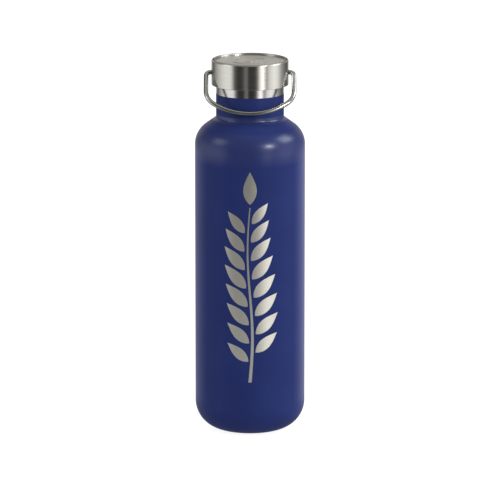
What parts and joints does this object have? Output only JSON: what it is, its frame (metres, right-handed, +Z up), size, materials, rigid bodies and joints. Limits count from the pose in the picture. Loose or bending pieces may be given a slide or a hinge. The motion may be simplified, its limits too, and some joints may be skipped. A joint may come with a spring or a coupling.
{
  "type": "water bottle",
  "caption": "Insulated steel water bottle with a straight coated body, a narrow neck, a brushed screw lid with a plug, and a wire bail pivoted in the lid's sides.",
  "frame": {"origin": "centre of the foot ring, on the surface that the bottle stands on", "axes": "+Z up the bottle's axis; the front, with the mark and the hanging bail, faces -Y; the bail's pivots lie along X"},
  "size_m": [0.073, 0.073, 0.2498],
  "materials": {
    "blue_coat": "satin powder coat",
    "wall_steel": "circumferential brush, laser-marked on the front",
    "inner_steel": "satin, electropolished inside",
    "base_steel": "spun",
    "copper": "rolled foil",
    "getter_metal": "sintered",
    "clip_steel": "stamped",
    "seal_bead": "fused bead",
    "lid_steel": "circumferential brush",
    "lid_top_steel": "spun, with a raised ring and drop",
    "core_plastic": "fine moulded grain",
    "foam": "rigid closed-cell foam",
    "plug_steel": "satin",
    "gasket": "matte silicone",
    "bushing": "moulded",
    "wire_steel": "drawn and polished"
  },
  "bodies": {
    "bottle": {"outer_shell": "wall_steel", "powder_coat": "blue_coat", "outer_base": "base_steel", "base_cap": "base_steel", "inner_flask": "inner_steel", "inner_bottom": "inner_steel", "copper_liner": "copper", "getter": "getter_metal", "getter_clip": "clip_steel", "vacuum_seal": "seal_bead"},
    "seal_ring": {"flange_gasket": "gasket"},
    "lid": {"lid_shell": "lid_steel", "lid_top_plate": "lid_top_steel", "lid_core": "core_plastic", "core_cover": "core_plastic", "foam_insert": "foam", "plug_cap": "plug_steel", "left_bushing": "bushing", "right_bushing": "bushing"},
    "bail": {"handle_wire": "wire_steel", "left_clip": "clip_steel", "right_clip": "clip_steel"}
  },
  "joints": [
    {"name": "lid_lift", "type": "slide", "parent": "bottle", "child": "seal_ring", "axis": [0, 0, 1], "range_m": [0, 0.0321]},
    {"name": "lid_turn", "type": "hinge", "parent": "seal_ring", "child": "lid", "pos_m": [0, 0, 0.233], "axis": [0, 0, 1], "range_deg": [0, 1440]},
    {"name": "handle_swing", "type": "hinge", "parent": "lid", "child": "bail", "pos_m": [0, 0, 0.24102], "axis": [-1, 0, 0], "range_deg": [0, 266]}
  ],
  "couplings": [
    {"joint": "lid_lift", "follows": "lid_turn", "m_per_rad": 0.0012732}
  ]
}
